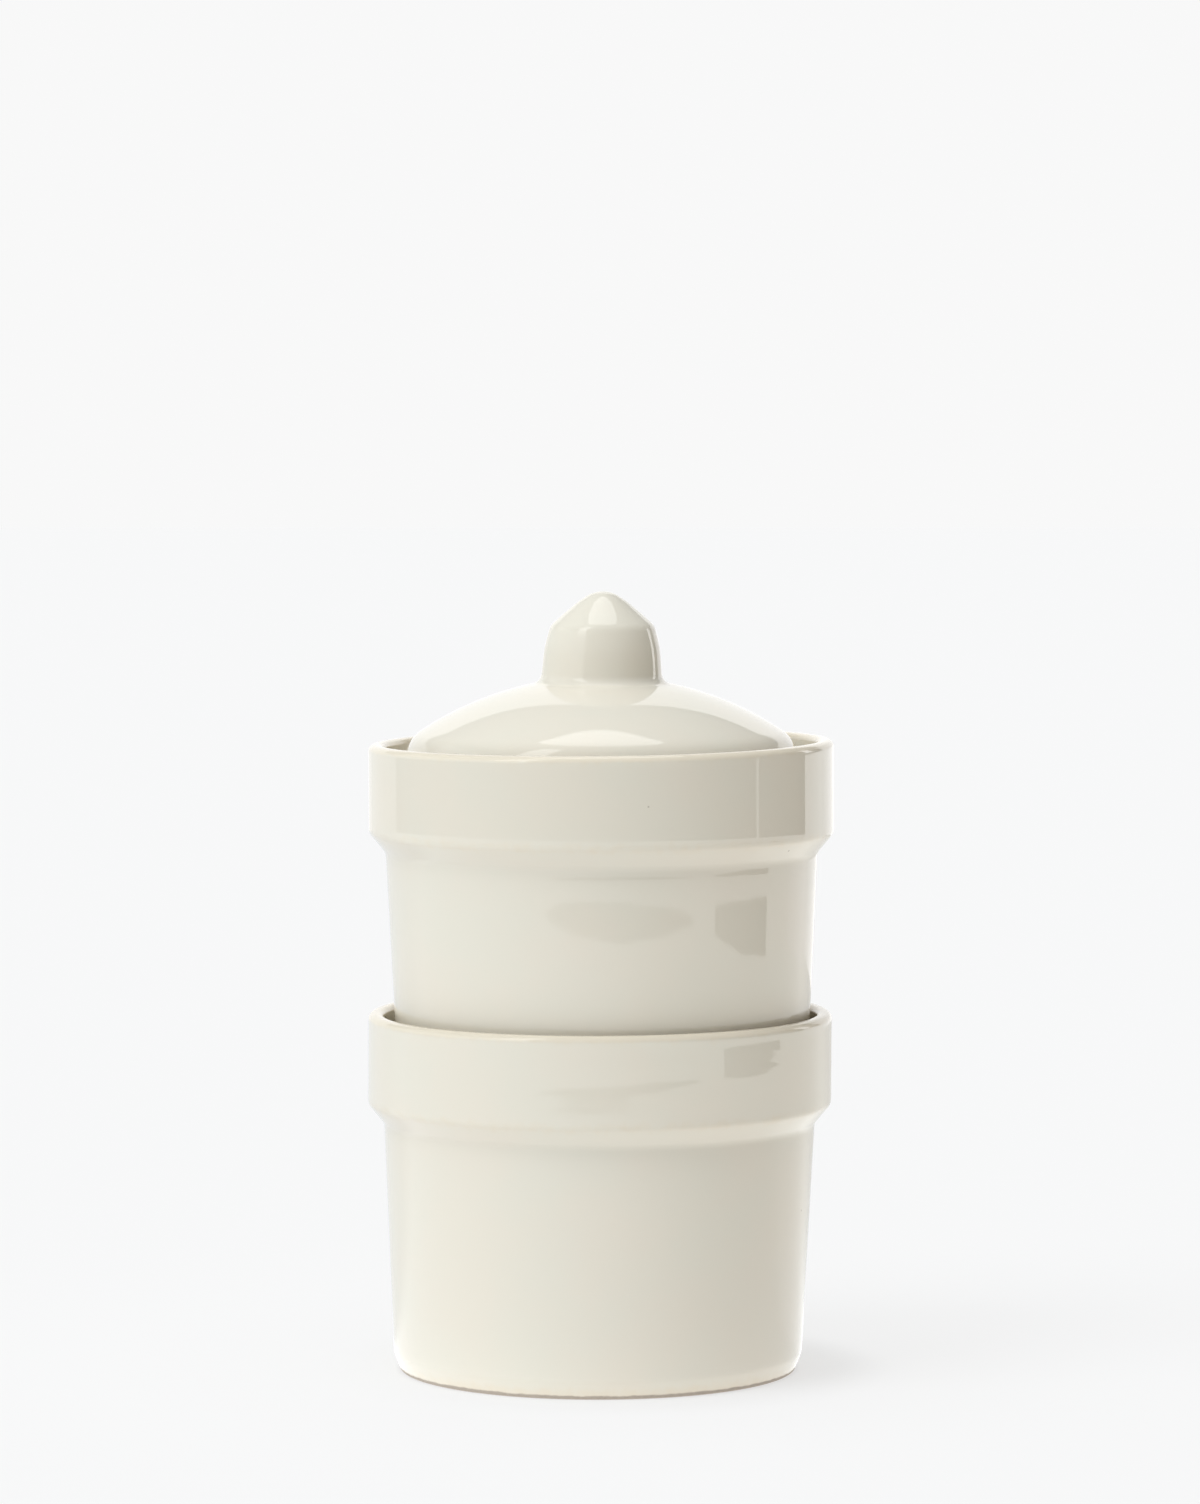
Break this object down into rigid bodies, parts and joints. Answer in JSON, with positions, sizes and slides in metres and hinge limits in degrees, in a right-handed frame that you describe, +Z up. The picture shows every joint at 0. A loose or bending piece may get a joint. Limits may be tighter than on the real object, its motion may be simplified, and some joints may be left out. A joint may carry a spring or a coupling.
{
  "type": "stacking storage jar set",
  "caption": "Two matching glazed ceramic jars with wide collars, the upper nested in the lower, under one domed lid with a bell-shaped knob.",
  "frame": {"origin": "on the jars' common axis, in the plane that the lower jar's foot ring stands on", "axes": "+Z up along the common axis, through the upper jar to the lid's knob; X and Y are equal because every piece is turned about Z"},
  "size_m": [0.1, 0.1, 0.1682],
  "materials": {
    "jar_glaze": "gloss warm ivory glaze, thin and tan at the rims, with a bare clay foot ring",
    "lid_glaze": "gloss ivory glaze, with a bare clay edge where the skirt stands"
  },
  "bodies": {
    "lower_jar": {"lower_jar": "jar_glaze"},
    "upper_jar": {"upper_jar": "jar_glaze"},
    "lid": {"lid": "lid_glaze"}
  },
  "joints": [
    {"name": "upper_jar_lift", "type": "slide", "parent": "lower_jar", "child": "upper_jar", "axis": [0, 0, 1], "range_m": [0, 0.09]},
    {"name": "lid_lift", "type": "slide", "parent": "upper_jar", "child": "lid", "axis": [0, 0, 1], "range_m": [0, 0.07]}
  ]
}
